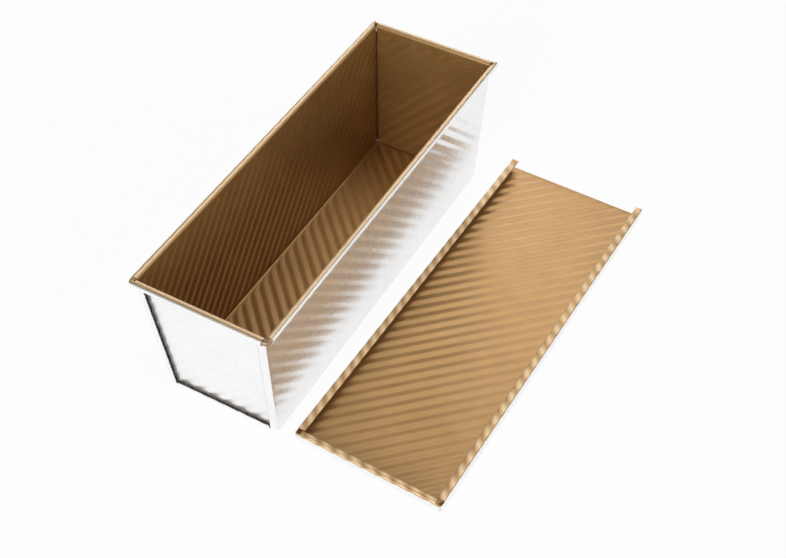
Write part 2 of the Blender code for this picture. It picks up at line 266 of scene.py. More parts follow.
def mapRange(tree, value, fromMin, fromMax, toMin, toMax, smooth=False):
    node = tree.nodes.new("ShaderNodeMapRange")
    if smooth:
        node.interpolation_type = "SMOOTHSTEP"
    tree.links.new(value, node.inputs["Value"])
    for label, number in zip(("From Min", "From Max", "To Min", "To Max"),
                             (fromMin, fromMax, toMin, toMax)):
        if isinstance(number, (int, float)):
            node.inputs[label].default_value = number
        else:
            tree.links.new(number, node.inputs[label])
    return node.outputs["Result"]


def mixColour(tree, factor, first, second):
    node = tree.nodes.new("ShaderNodeMix")
    node.data_type = "RGBA"
    for socket, value in ((node.inputs[0], factor), (node.inputs[6], first), (node.inputs[7], second)):
        if isinstance(value, (int, float)):
            socket.default_value = value
        elif isinstance(value, tuple):
            socket.default_value = (*value, 1.0)
        else:
            tree.links.new(value, socket)
    return node.outputs[2]


grain = {
    "speckle": 2600.0, "patches": 28.0, "depth": 0.05,        # noise scales, and the bump's share
    "speckleShare": 0.45, "patchShare": 0.55,
    "darkBelow": 0.36, "lightAbove": 0.64,
    "glossFrom": 0.3, "glossTo": 0.7, "smoother": -0.035, "rougher": 0.045,   # added to the roughness
}


def makeCoatingGrain():
    # the fine speckle of a sprayed and baked non-stick film, with broad uneven patches
    tree, given, result = newGroup(
        "coatingGrain",
        [("Dark", "NodeSocketColor", (0.3, 0.2, 0.1, 1)), ("Light", "NodeSocketColor", (0.6, 0.4, 0.2, 1)),
         ("Speckle", "NodeSocketFloat", grain["speckle"]), ("Patches", "NodeSocketFloat", grain["patches"]),
         ("Gloss", "NodeSocketFloat", 0.4), ("Depth", "NodeSocketFloat", grain["depth"])],
        [("Color", "NodeSocketColor"), ("Roughness", "NodeSocketFloat"), ("Height", "NodeSocketFloat")])
    place = tree.nodes.new("ShaderNodeTexCoord").outputs["Object"]
    speckle = addNoise(tree, place, given.outputs["Speckle"], detail=2.0, roughness=0.6)
    patches = addNoise(tree, place, given.outputs["Patches"], detail=4.0, roughness=0.55)
    blend = addMath(tree, "ADD", addMath(tree, "MULTIPLY", speckle, grain["speckleShare"]),
                    addMath(tree, "MULTIPLY", patches, grain["patchShare"]))
    share = mapRange(tree, blend, grain["darkBelow"], grain["lightAbove"], 0.0, 1.0)
    tree.links.new(mixColour(tree, share, given.outputs["Dark"], given.outputs["Light"]),
                   result.inputs["Color"])
    uneven = mapRange(tree, blend, grain["glossFrom"], grain["glossTo"], grain["smoother"], grain["rougher"])
    tree.links.new(addMath(tree, "ADD", given.outputs["Gloss"], uneven), result.inputs["Roughness"])
    tree.links.new(addMath(tree, "MULTIPLY", speckle, given.outputs["Depth"]), result.inputs["Height"])
    return tree


rolled = {
    "lineStretch": (1.0, 0.05, 1.0), "lines": 900.0, "lineDepth": 0.006,   # lines run along Y
    "dents": 60.0, "dentDepth": 0.3,
    "smears": 35.0, "brightBelow": 0.4, "dullAbove": 0.68,
    "glossFrom": 0.3, "glossTo": 0.7, "smoother": -0.02, "rougher": 0.03,
}


def makeRolledSteel():
    # bright coated steel: faint rolling lines along the sheet, small dents and smears
    tree, given, result = newGroup(
        "rolledSteel",
        [("Bright", "NodeSocketColor", (0.9, 0.9, 0.9, 1)), ("Dull", "NodeSocketColor", (0.7, 0.7, 0.7, 1)),
         ("Gloss", "NodeSocketFloat", 0.2), ("Dents", "NodeSocketFloat", rolled["dents"])],
        [("Color", "NodeSocketColor"), ("Roughness", "NodeSocketFloat"), ("Height", "NodeSocketFloat")])
    place = tree.nodes.new("ShaderNodeTexCoord").outputs["Object"]
    stretch = tree.nodes.new("ShaderNodeVectorMath")
    stretch.operation = "MULTIPLY"
    stretch.inputs[1].default_value = rolled["lineStretch"]
    tree.links.new(place, stretch.inputs[0])
    lines = addNoise(tree, stretch.outputs[0], rolled["lines"], roughness=0.6)
    dents = addNoise(tree, place, given.outputs["Dents"])
    smears = addNoise(tree, place, rolled["smears"], detail=2.5, roughness=0.55)
    share = mapRange(tree, smears, rolled["brightBelow"], rolled["dullAbove"], 0.0, 1.0)
    tree.links.new(mixColour(tree, share, given.outputs["Bright"], given.outputs["Dull"]),
                   result.inputs["Color"])
    uneven = mapRange(tree, smears, rolled["glossFrom"], rolled["glossTo"],
                      rolled["smoother"], rolled["rougher"])
    tree.links.new(addMath(tree, "ADD", given.outputs["Gloss"], uneven), result.inputs["Roughness"])
    height = addMath(tree, "ADD", addMath(tree, "MULTIPLY", lines, rolled["lineDepth"]),
                     addMath(tree, "MULTIPLY", dents, rolled["dentDepth"]))
    tree.links.new(height, result.inputs["Height"])
    return tree


spray = {
    "ragged": 0.15, "size": 420.0,           # how far the blots shift the edge, and their noise scale
    "bareBelow": 0.08, "filmFrom": 0.5,      # the cream film comes in between these
    "goldFrom": 0.45, "goldFull": 0.75,
}


def makeSprayEdge():
    # where the spray runs out: a ragged edge with loose dots beyond it
    tree, given, result = newGroup(
        "sprayEdge",
        [("Coat", "NodeSocketFloat", 1.0), ("Ragged", "NodeSocketFloat", spray["ragged"]),
         ("Size", "NodeSocketFloat", spray["size"])],
        [("Mask", "NodeSocketFloat"), ("Thin", "NodeSocketFloat")])
    place = tree.nodes.new("ShaderNodeTexCoord").outputs["Object"]
    blots = addNoise(tree, place, given.outputs["Size"], detail=4.0, roughness=0.65)
    shift = addMath(tree, "MULTIPLY", addMath(tree, "SUBTRACT", blots, 0.5), given.outputs["Ragged"])
    mask = addMath(tree, "ADD", given.outputs["Coat"], addMath(tree, "MULTIPLY", shift, 2.0))
    gold = mapRange(tree, mask, spray["goldFrom"], spray["goldFull"], 0.0, 1.0, smooth=True)
    film = mapRange(tree, mask, spray["bareBelow"], spray["filmFrom"], 0.0, 1.0, smooth=True)
    tree.links.new(gold, result.inputs["Mask"])
    tree.links.new(film, result.inputs["Thin"])
    return tree


# painted shade for the seam gaps: ragged, scalloped, near black
paintedShade = {
    "blots": 700.0, "ragged": 1.2, "edge": (-0.12, 0.18),   # noise scale, then mm
    "scallop": 0.16,             # of the flames' height
    "roughness": 0.6, "none": -5.0,   # mm, so far back that nothing shows
}


def makePaintedSeamShade():
    # painted shade in a scalloped band beside a seam and in flames over the foot seam, one to a ridge,
    # darkening the real gaps there
    tree, given, result = newGroup(
        "paintedSeamShade",
        [("Place", "NodeSocketVector", None), ("Beside", "NodeSocketFloat", 0.5),
         ("Above", "NodeSocketFloat", 0.5), ("Scallop", "NodeSocketFloat", 0.4),
         ("Flame", "NodeSocketFloat", 1.6)],
        [("Mask", "NodeSocketFloat")])
    split = tree.nodes.new("ShaderNodeSeparateXYZ")
    tree.links.new(given.outputs["Place"], split.inputs[0])
    turn = addMath(tree, "MULTIPLY", split.outputs[2], 2 * math.pi)
    wave = addMath(tree, "MULTIPLY", addMath(tree, "COSINE", turn), -1.0)
    hump = addMath(tree, "MAXIMUM", wave, 0.0)
    place = tree.nodes.new("ShaderNodeTexCoord").outputs["Object"]
    blots = addNoise(tree, place, paintedShade["blots"], roughness=0.6)
    ragged = addMath(tree, "MULTIPLY", addMath(tree, "SUBTRACT", blots, 0.5), paintedShade["ragged"])
    besideReach = addMath(tree, "ADD", given.outputs["Beside"],
                          addMath(tree, "MULTIPLY", wave, given.outputs["Scallop"]))
    aboveReach = addMath(tree, "ADD", given.outputs["Above"],
                         addMath(tree, "MULTIPLY", addMath(tree, "MULTIPLY", hump, hump),
                                 given.outputs["Flame"]))
    beside = addMath(tree, "SUBTRACT", addMath(tree, "ADD", besideReach, ragged), split.outputs[0])
    above = addMath(tree, "SUBTRACT", addMath(tree, "ADD", aboveReach, ragged), split.outputs[1])
    nearest = addMath(tree, "MAXIMUM", beside, above)
    tree.links.new(mapRange(tree, nearest, *paintedShade["edge"], 0.0, 1.0, smooth=True), result.inputs["Mask"])
    return tree


coatingGrain = makeCoatingGrain()
rolledSteel = makeRolledSteel()
sprayEdge = makeSprayEdge()
paintedSeamShade = makePaintedSeamShade()

finish = {
    "gold": {"dark": (0.37, 0.2, 0.06), "light": (0.47, 0.263, 0.087), "gloss": 0.38, "metal": 0.65,
             # a lighter gold with less metal, the painted highlight on the roll tops and the lid's lips
             "coat": 0.6, "coatGloss": 0.36, "paleFilmAndPaintedHighlight": (0.84, 0.61, 0.35), "highlightMetal": 0.3,
             "highlightShare": 0.85},      # how far the painted highlight's lighter colour takes over at most
    "cream": (0.93, 0.82, 0.66),
    # near black, the painted shade in the seam gaps
    "seamShade": (0.075, 0.062, 0.05),
    "bump": 0.0004, "bumpStrength": 0.5,
    "steel": {"bright": (0.93, 0.93, 0.935), "dull": (0.9, 0.9, 0.908), "gloss": 0.27, "metal": 0.85},
    # a dark brown that stands in for the shade in the corner openings where the wire shows, painted shade
    "wire": {"bright": (0.46, 0.33, 0.2), "dull": (0.13, 0.1, 0.075), "gloss": 0.45,
             "dents": 400.0, "bump": 0.0002},
}


def placeGroup(tree, group, values):
    node = tree.nodes.new("ShaderNodeGroup")
    node.node_tree = group
    for label, value in values.items():
        if isinstance(value, tuple):
            node.inputs[label].default_value = (*value, 1.0)
        elif isinstance(value, (int, float)):
            node.inputs[label].default_value = value
        else:
            tree.links.new(value, node.inputs[label])
    return node


def sheetFinish(name, ragged=spray["ragged"], beside=paintedShade["none"], above=paintedShade["none"], flame=0.0):
    # the coating where "coat" is 1, a lighter tint as it rises to 2 (a painted highlight), bare steel where
    # it is 0 and a thin cream film between
    gold, steel = finish["gold"], finish["steel"]
    material = bpy.data.materials.new(name)
    material.use_nodes = True
    tree = material.node_tree
    shader = tree.nodes["Principled BSDF"]
    coat = tree.nodes.new("ShaderNodeAttribute")
    coat.attribute_name = "coat"
    edge = placeGroup(tree, sprayEdge, {"Coat": coat.outputs["Fac"], "Ragged": ragged})
    film = placeGroup(tree, coatingGrain, {"Dark": gold["dark"], "Light": gold["light"],
                                           "Gloss": gold["gloss"]})
    bare = placeGroup(tree, rolledSteel, {"Bright": steel["bright"], "Dull": steel["dull"],
                                          "Gloss": steel["gloss"]})
    paleFilmAndPaintedHighlight = mixColour(tree, edge.outputs["Thin"], bare.outputs["Color"], finish["cream"])
    # painted highlight: coat values from 1 to 2 mix in the lighter gold
    highlightAmount = mapRange(tree, coat.outputs["Fac"], 1.0, 2.0, 0.0, gold["highlightShare"])
    coatedWithHighlight = mixColour(tree, highlightAmount, film.outputs["Color"], gold["paleFilmAndPaintedHighlight"])
    beforeSeamShade = mixColour(tree, edge.outputs["Mask"], paleFilmAndPaintedHighlight, coatedWithHighlight)
    place = tree.nodes.new("ShaderNodeAttribute")
    place.attribute_name = "shadePlace"
    seamShade = placeGroup(tree, paintedSeamShade, {"Place": place.outputs["Vector"], "Beside": beside, "Above": above,
                                         "Scallop": paintedShade["scallop"] * flame, "Flame": flame})
    # painted shade: the seam mask turns the colour near black, rough and not metallic
    seamShadeMask = seamShade.outputs["Mask"]
    tree.links.new(mixColour(tree, seamShadeMask, beforeSeamShade, finish["seamShade"]), shader.inputs["Base Color"])
    rough = mapRange(tree, edge.outputs["Thin"], 0.0, 1.0, bare.outputs["Roughness"],
                     film.outputs["Roughness"])
    tree.links.new(mapRange(tree, seamShadeMask, 0.0, 1.0, rough, paintedShade["roughness"]), shader.inputs["Roughness"])
    coatedMetal = mapRange(tree, highlightAmount, 0.0, gold["highlightShare"], gold["metal"], gold["highlightMetal"])
    metal = mapRange(tree, edge.outputs["Thin"], 0.0, 1.0, steel["metal"], coatedMetal)
    tree.links.new(mapRange(tree, seamShadeMask, 0.0, 1.0, metal, 0.0), shader.inputs["Metallic"])
    gloss = addMath(tree, "MULTIPLY", edge.outputs["Thin"], gold["coat"])
    tree.links.new(gloss, shader.inputs["Coat Weight"])
    shader.inputs["Coat Roughness"].default_value = gold["coatGloss"]
    height = mapRange(tree, edge.outputs["Thin"], 0.0, 1.0, bare.outputs["Height"],
                      film.outputs["Height"])
    bump = tree.nodes.new("ShaderNodeBump")
    bump.inputs["Distance"].default_value = finish["bump"]
    bump.inputs["Strength"].default_value = finish["bumpStrength"]
    tree.links.new(height, bump.inputs["Height"])
    tree.links.new(bump.outputs["Normal"], shader.inputs["Normal"])
    return material


def wireFinish():
    wire = finish["wire"]
    material = bpy.data.materials.new("drawnWire")
    material.use_nodes = True
    tree = material.node_tree
    shader = tree.nodes["Principled BSDF"]
    bare = placeGroup(tree, rolledSteel, {"Bright": wire["bright"], "Dull": wire["dull"],
                                          "Gloss": wire["gloss"], "Dents": wire["dents"]})
    shader.inputs["Metallic"].default_value = 1.0
    tree.links.new(bare.outputs["Color"], shader.inputs["Base Color"])
    tree.links.new(bare.outputs["Roughness"], shader.inputs["Roughness"])
    bump = tree.nodes.new("ShaderNodeBump")
    bump.inputs["Distance"].default_value = wire["bump"]
    tree.links.new(bare.outputs["Height"], bump.inputs["Height"])
    tree.links.new(bump.outputs["Normal"], shader.inputs["Normal"])
    return material


print("finishes ready")

# The tin
tin = {
    "rimWidth": 0.1222, "rimLength": 0.3524, "baseWidth": 0.0996, "baseLength": 0.3256, "height": 0.1255,
    "roll": 0.0064, "rollTurn": math.radians(285), "rollSteps": 20,
    "topStep": 6,                # from this step on the roll has its own end at each corner
    # how far the long and the short roll stop before the rim's outer edge, by side and end
    "rollEnds": {(-1, -1): (0.0045, 0.0032), (1, -1): (0.0070, 0.0070),
                 (-1, 1): (0.0012, 0.0045), (1, 1): (0.0012, 0.0045)},
    "rimGap": 0.0003,            # between wrap and panel where both turn into the roll
    "ridgeHeight": 0.00056, "baseBend": 0.0018, "baseBendSteps": 6,
    "margin": 0.0006,            # smooth strip between a bend and the ridges' ends
    "wallMargin": 0.0008, "topMargin": 0.0046,
    "finger": 0.0030, "fingerSteps": 5,
    "seamDepth": 0.0026, "seamFace": 0.0063, "seamFoot": 0.0043,
    "seamCorner": ((0.0008, 35, 3), (0.0035, 20, 3), (0.0010, 35, 3)),   # radius, degrees, steps
    "ridgeRunOut": 0.0009,       # length over which a ridge ends at the seam's corner
    "runOutCuts": (1.0, 0.67, 0.33),
    "lipWidth": 0.0042, "lipFoot": 0.0027, "relief": 0.0008, "rimRelief": 0.0012,
    "panelRelief": 0.00015,      # the panel's flanges meet almost closed at the bottom corners
    "rollRipple": 0.00008,       # the ridges show faintly in the rolled rim
    "rippleEase": 3,             # and are full after one part in this many of the roll
    "rollTuck": 0.00016,         # keeps this fine roll inside the CAD's coarser one
    "coatEnd": math.radians(114), "coatFade": math.radians(18),
    "highlightFrom": math.radians(20), "highlightTo": math.radians(80),   # the colour grows lighter here, a painted highlight on the roll's top
    "wrapShade": {"beside": 0.15}, "panelShade": {"beside": -1.9, "above": -3.1, "flame": 2.9},   # mm, how far the painted seam shade reaches
}
tinCrest = tin["ridgeHeight"] / 2
tinRest = tinCrest + skin        # mid sheet of the bottom, which stands on its ridges
rollAxis = tin["height"] - tin["roll"] / 2
rollRadius = tin["roll"] / 2 - skin - tin["rollTuck"]
wallTop = tin["rimWidth"] / 2 - tin["roll"] + skin
wallFoot = tin["baseWidth"] / 2 - skin
wallLean = math.atan2(wallTop - wallFoot, rollAxis - tinRest)
panelTop = tin["rimLength"] / 2 - tin["roll"] + skin
panelFoot = tin["baseLength"] / 2 - tin["seamDepth"] - skin
panelLean = math.atan2(panelTop - panelFoot, rollAxis - tinRest)
notchHeight = tin["height"] - tin["roll"] - tin["rimRelief"]
rimStop = tin["rimLength"] / 2 - tin["roll"] - tin["rimGap"]
wireX = (tin["rimWidth"] - tin["roll"]) / 2
wireY = (tin["rimLength"] - tin["roll"]) / 2


def panelLine(height):
    return panelFoot + (height - tinRest) * math.tan(panelLean)


def wallLine(height):
    return wallFoot + (height - tinRest) * math.tan(wallLean)


def rollCoat(turned):
    # on top of the roll the coat value rises to 2 instead of 1, a painted highlight in a lighter gold, and
    # the film runs out on its outer side
    highlighted = 1 + ease(turned, tin["highlightFrom"], tin["highlightTo"])
    return highlighted * (1 - ease(turned, tin["coatEnd"] - tin["coatFade"], tin["coatEnd"] + tin["coatFade"]))


def makeWrap():
    corner = tin["baseBend"] * math.tan((math.pi / 2 - wallLean) / 2)
    wall = math.hypot(wallTop - wallFoot, rollAxis - tinRest) - corner
    section = FoldLine(0.0, tinRest, 0.0).straight(wallFoot - corner)
    bottomEdge = section.stops[-1]
    section.bend(tin["baseBend"], math.pi / 2 - wallLean, tin["baseBendSteps"])
    wallStart = section.stops[-1]
    section.straight((notchHeight - section.points[-1].y) / math.cos(wallLean))
    notch = section.stops[-1]
    section.straight(wall - (notch - wallStart))
    wallEnd = section.stops[-1]
    section.bend(rollRadius, -tin["rollTurn"], tin["rollSteps"])
    reach = section.stops[-1]
    rollArc = reach - wallEnd
    topStart = section.stops[tin["topStep"] - tin["rollSteps"] - 1]

    bed = skin + tin["margin"]
    corners = [(radius, math.radians(angle), count) for radius, angle, count in tin["seamCorner"]]
    curl = FoldLine(0.0, 0.0, 0.0)
    for radius, angle, count in corners:
        curl.bend(radius, angle, count)
    seam = FoldLine(0.0, 0.0, 0.0).straight(bed + tin["seamDepth"] - curl.points[-1].x)
    band = seam.stops[-1]
    for radius, angle, count in corners:
        seam.bend(radius, angle, count)
    seam.straight(tin["seamFace"] - skin - curl.points[-1].y)
    sideEdge = seam.stops[-1]
    footEdge = sideEdge - (tin["seamFace"] - tin["seamFoot"])
    footReach = bottomEdge + corner - (tin["seamFace"] + tin["relief"])
    finger = tin["finger"]

    def bandLine(distance):
        return panelLine(section.at(distance).y) - bed

    def rimEnd(distance, side, end):
        if distance > topStart - tiny:
            return tin["rimLength"] / 2 - tin["rollEnds"][side, end][0]
        return rimStop

    def room(distance, beyond):
        low = ease(distance, wallStart + tin["margin"], wallStart + tin["margin"] + finger)
        bottom = ease(bottomEdge - tin["margin"] - distance, 0.0, finger)
        high = ease(wallEnd - tin["wallMargin"] - distance, 0.0, finger)
        inside = min(max(low, bottom), high)
        outside = min(inside, ease(band - beyond, 0.0, tin["ridgeRunOut"]))
        return min(inside, ease(-beyond, 0.0, finger)), outside

    def shape(s, y):
        side, end = math.copysign(1, s), math.copysign(1, y)
        distance, length = abs(s), abs(y)
        place, left = section.at(distance), section.left(distance)
        phase = (s + y) * math.cos(sheet["ridgeTurn"])
        beyond = length - bandLine(min(distance, wallEnd))
        rise = pressedHeight(phase, tinCrest, *room(distance, beyond))
        if distance > wallEnd:
            ripple = tin["rollRipple"] * (ridgeWave(phase) - 1)
            rise = ripple * ease(distance, wallEnd, wallEnd + rollArc / tin["rippleEase"])
        if distance <= notch + tiny and beyond > 0:
            ahead = seam.at(beyond)
            length = bandLine(distance) + ahead.x + ahead.y * left.y * math.tan(panelLean)
            rise = ahead.y + min(0.0, rise)
        return Vector((side * (place.x + left.x * rise), end * length, place.y + left.y * rise))

    def coats(s, _):
        distance = abs(s)
        inner = 1.0
        if distance > wallEnd:
            inner = rollCoat((distance - wallEnd) / rollArc * tin["rollTurn"])
        return inner, 0.0

    # places for the painted shade along the seam strip's free edge
    def shadePlace(s, y):
        distance = abs(s)
        beyond = abs(y) - bandLine(min(distance, wallEnd))
        beside = (sideEdge - beyond) * mmPerMetre if distance < notch + tiny else sheet["farOff"]
        return (beside, sheet["farOff"], (s + y) * math.cos(sheet["ridgeTurn"]) / ridgeAcross)

    def keep(centre):
        distance, length = abs(centre.x), abs(centre.y)
        if distance > reach:
            return False
        if distance > notch:
            side, end = math.copysign(1, centre.x), math.copysign(1, centre.y)
            return length < rimEnd(distance, side, end)
        beyond = length - bandLine(distance)
        if beyond < band:
            return True
        if distance > wallStart:
            return beyond < sideEdge
        return distance < footReach and beyond < footEdge

    mesh = makeStrips(reach + tin["rimLength"] / 2, sheet["ridgeTurn"])
    trimBlank(mesh, lambda c: abs(c.x) < reach + tin["rimLength"] and abs(c.y) < tin["rimLength"])
    whole = geometryWhere(mesh)
    margins = (steps(bottomEdge - tin["margin"] - finger, bottomEdge - tin["margin"], tin["fingerSteps"])
               + steps(wallStart + tin["margin"], wallStart + tin["margin"] + finger, tin["fingerSteps"])
               + steps(wallEnd - tin["wallMargin"] - finger, wallEnd - tin["wallMargin"],
                       tin["fingerSteps"]))
    scoreLines(mesh, whole, across(section.stops + margins))
    trimBlank(mesh, lambda c: abs(c.x) < reach)
    fingers = [-finger * i / tin["fingerSteps"] for i in range(tin["fingerSteps"], 0, -1)]
    fingers += [band - tin["ridgeRunOut"] * share for share in tin["runOutCuts"]]
    for start, stop in zip(section.stops[:-1], section.stops[1:]):
        for side in (-1, 1):
            for end in (-1, 1):
                inRun = geometryWhere(mesh, lambda c: start < side * c.x < stop and end * c.y > 0)
                lines = []
                if stop <= wallEnd + tiny:
                    lines = [((side * start, end * (bandLine(start) + beyond)),
                              (side * stop, end * (bandLine(stop) + beyond)))
                             for beyond in fingers + seam.stops + [footEdge]]
                if start >= notch - tiny:
                    limit = rimEnd(start, side, end)
                    lines.append(((side * start, end * limit), (side * stop, end * limit)))
                scoreLines(mesh, inRun, lines)
    foot = geometryWhere(mesh, lambda c: abs(c.x) < bottomEdge and abs(c.y) > bandLine(0.0) + band)
    scoreLines(mesh, foot, across([footReach]))
    trimBlank(mesh, keep)
    piece = sheetPiece("wrapSheet", mesh, shape, coats, shadePlace,
                       [sheetFinish("wrapCoating"), sheetFinish("wrapSteel", **tin["wrapShade"])])
    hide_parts("body_wrap")
    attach(piece, "tin")
    print("wrap made:", len(piece.data.polygons), "faces")


def makePanel(name, node, end):
    fold = sheet["fold"]
    footHeight = tinRest + skin + sheet["gap"] + skin + fold * (1 + math.sin(panelLean))
    face = (rollAxis - footHeight) / math.cos(panelLean)
    up = math.pi / 2 - panelLean
    upright = FoldLine(panelLine(footHeight), footHeight, up)
    upright.straight((notchHeight - footHeight) / math.cos(panelLean))
    notch = upright.stops[-1]
    upright.straight(face - notch)
    upright.bend(rollRadius, -tin["rollTurn"], tin["rollSteps"])
    reach = upright.stops[-1]
    topStart = upright.stops[tin["topStep"] - tin["rollSteps"] - 1]

    depth = tin["seamDepth"] - sheet["thickness"] - sheet["gap"]
    foot = FoldLine(panelLine(footHeight), footHeight, up - math.pi)
    foot.bend(fold, math.pi - up, sheet["foldSteps"])
    foot.straight(depth - (foot.points[-1].x - foot.points[0].x) - sheet["lipBend"])
    foot.bend(sheet["lipBend"], up, sheet["foldSteps"])
    footEdge = foot.stops[-1]
    foot.straight(tin["lipFoot"] - sheet["lipBend"])
    flange = FoldLine(0.0, 0.0, 0.0).bend(fold, math.pi / 2, sheet["foldSteps"])
    flange.straight(depth * math.cos(panelLean) - fold - sheet["lipBend"])
    flange.bend(sheet["lipBend"], math.pi / 2, sheet["foldSteps"])
    flange.straight(tin["lipWidth"] - sheet["lipBend"])

    def sideLine(rise):
        height = upright.at(min(max(rise, 0.0), face)).y
        return wallLine(height) - skin / math.cos(wallLean) - sheet["gap"] - skin - fold

    cutHalf = wallLine(rollAxis) - skin - sheet["gap"]
    footHalf = sideLine(0.0) - tin["panelRelief"]
    lipHalf = sideLine(0.0) + fold - tin["lipWidth"] - tin["relief"]
    flangeStart = tin["panelRelief"]
    rollStart = notch + tin["rimGap"]
    finger = tin["finger"]

    def rollHalf(rise, hand):
        return cutHalf if rise < topStart - tiny else tin["rimWidth"] / 2 - tin["rollEnds"][hand, end][1]

    def room(distance, rise):
        low = ease(rise - tin["margin"], 0.0, finger)
        high = ease(face - tin["topMargin"] - rise, 0.0, finger)
        edge = ease(sideLine(rise) - tin["margin"] - distance, 0.0, finger)
        return min(low, high, edge)

    def shape(x, rise):
        distance, hand = abs(x), math.copysign(1, x)
        if rise < 0:
            out = foot.at(-rise)
            return Vector((x, end * out.x, out.y))
        place, left = upright.at(rise), upright.left(rise)
        height = -pressedHeight((x - rise) * math.cos(sheet["ridgeTurn"]), tinCrest, room(distance, rise))
        beyond = distance - sideLine(rise)
        if rise <= notch + tiny and beyond > 0:
            turned = flange.at(beyond)
            height, distance = -turned.y, sideLine(rise) + turned.x
        return Vector((hand * distance, end * (place.x + left.x * height),
                       place.y + left.y * height))

    def coats(_, rise):
        inner = 1.0
        if rise > face:
            inner = rollCoat((rise - face) / (reach - face) * tin["rollTurn"])
        return inner, 0.0

    # places for the painted shade beside the side seams and in flames over the foot seam
    def shadePlace(x, rise):
        height = upright.at(min(max(rise, 0.0), face)).y
        beside = sheet["farOff"]
        if rise < notch + tiny:
            beside = (wallLine(height) - tin["seamFace"] - abs(x)) * mmPerMetre
        above = (rise - (tin["seamFoot"] - footHeight)) * mmPerMetre
        return (beside, above, (x - rise) * math.cos(sheet["ridgeTurn"]) / ridgeAcross)

    def keep(centre):
        distance, rise = abs(centre.x), centre.y
        if rise > notch:
            half = rollHalf(rise, math.copysign(1, centre.x)) if rise > rollStart else sideLine(notch)
            return rise < reach and distance < half
        if rise < 0:
            half = lipHalf if -rise > footEdge else footHalf
            return -rise < foot.stops[-1] and distance < half
        beyond = distance - sideLine(rise)
        return beyond < 0 or (rise > flangeStart and beyond < flange.stops[-1])

    mesh = makeStrips(reach + tin["rimWidth"], -sheet["ridgeTurn"])
    trimBlank(mesh, lambda c: abs(c.x) < tin["rimWidth"] and abs(c.y) < reach + tin["rimWidth"])
    whole = geometryWhere(mesh)
    rises = (upright.stops + steps(tin["margin"], tin["margin"] + finger, tin["fingerSteps"])
             + steps(face - tin["topMargin"] - finger, face - tin["topMargin"], tin["fingerSteps"])
             + [flangeStart, rollStart] + [-stop for stop in foot.stops[1:]])
    scoreLines(mesh, whole, along(rises) + across([0.0]))
    trimBlank(mesh, lambda c: -foot.stops[-1] < c.y < reach)
    margins = [-tin["margin"] - finger * i / tin["fingerSteps"] for i in range(tin["fingerSteps"] + 1)]
    for hand in (-1, 1):
        wallSide = geometryWhere(mesh, lambda c: 0 < c.y < notch and hand * c.x > 0)
        scoreLines(mesh, wallSide, [((hand * (sideLine(0.0) + beyond), 0.0),
                                     (hand * (sideLine(notch) + beyond), notch))
                                    for beyond in margins + flange.stops])
    inner = geometryWhere(mesh, lambda c: notch < c.y < topStart)
    scoreLines(mesh, inner, across([sideLine(notch), cutHalf]))
    top = geometryWhere(mesh, lambda c: c.y > topStart)
    scoreLines(mesh, top, across([hand * rollHalf(reach, hand) for hand in (-1, 1)], both=False))
    scoreLines(mesh, geometryWhere(mesh, lambda c: c.y < 0), across([footHalf, lipHalf]))
    trimBlank(mesh, keep)
    piece = sheetPiece(name, mesh, shape, coats, shadePlace,
                       [sheetFinish(name + "Coating"), sheetFinish(name + "Steel", **tin["panelShade"])],
                       flip=end < 0)
    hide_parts(node)
    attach(piece, "tin")
    print(name, "made:", len(piece.data.polygons), "faces")


rimWire = {
    "slack": 0.0003, "cornerSteps": 8, "around": 6,
    "bends": {(-1, -1): 0.0012, (1, -1): 0.0024, (-1, 1): 0.0014, (1, 1): 0.0014},   # by side and end
}


def makeWire():
    curve = bpy.data.curves.new("rimWireLoop", "CURVE")
    curve.dimensions = "3D"
    curve.bevel_depth = tin["roll"] / 2 - sheet["thickness"] - rimWire["slack"]
    curve.bevel_resolution = rimWire["around"]
    points = []
    for turn, (side, end) in enumerate(((1, 1), (-1, 1), (-1, -1), (1, -1))):
        bend = rimWire["bends"][side, end]
        middle = Vector((side * (wireX - bend), end * (wireY - bend), rollAxis))
        for step in range(rimWire["cornerSteps"] + 1):
            angle = math.pi / 2 * (turn + step / rimWire["cornerSteps"])
            points.append(middle + bend * Vector((math.cos(angle), math.sin(angle), 0.0)))
    spline = curve.splines.new("POLY")
    spline.points.add(len(points) - 1)
    for target, point in zip(spline.points, points):
        target.co = (*point, 1.0)
    spline.use_cyclic_u = True
    spline.use_smooth = True
    curve.materials.append(wireFinish())
    wire = bpy.data.objects.new("rimWireLoop", curve)
    scene.collection.objects.link(wire)
    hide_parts("rim_wire")
    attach(wire, "tin")
    print("wire made")


# The lid
lid = {
    "width": 0.1272, "length": 0.3520, "depth": 0.0098, "inset": 0.00002,
    "bend": 0.0010, "bendSteps": 6, "lip": 0.0062, "stop": 0.0042,
    "hemBend": 0.0004, "hemSteps": 6, "hemReturn": 0.0026, "relief": 0.0008,
    "x": 0.1325, "y": 0.0134, "turn": math.radians(-1.57),
    "ridgeHeight": 0.00052, "margin": 0.0004, "finger": 0.0034, "farMargin": 0.0010,
    "lipRidge": 0.8,            # share of the ridge that is left in the folded lips
    "cornerCurl": 0.0011, "curlReach": 1.3, "curlSteps": 5,   # the side walls' ends curl round the corners
    "coatEnd": 0.0001, "coatFade": 0.0022, "coatWave": 0.0004, "coatSteps": 5,   # the spray down the front
    "lipHighlight": 1.5, "lipFlankHighlight": 0.5,   # the lips are tinted lighter, a painted highlight, lighter still on each crest and darker on the other flank, painted light and shade
    "ragged": 0.45, "spare": 0.0168,     # the steel side's spray edge; blank left beyond the folds
}
lidCrest = lid["ridgeHeight"] / 2
lidRest = lidCrest + skin


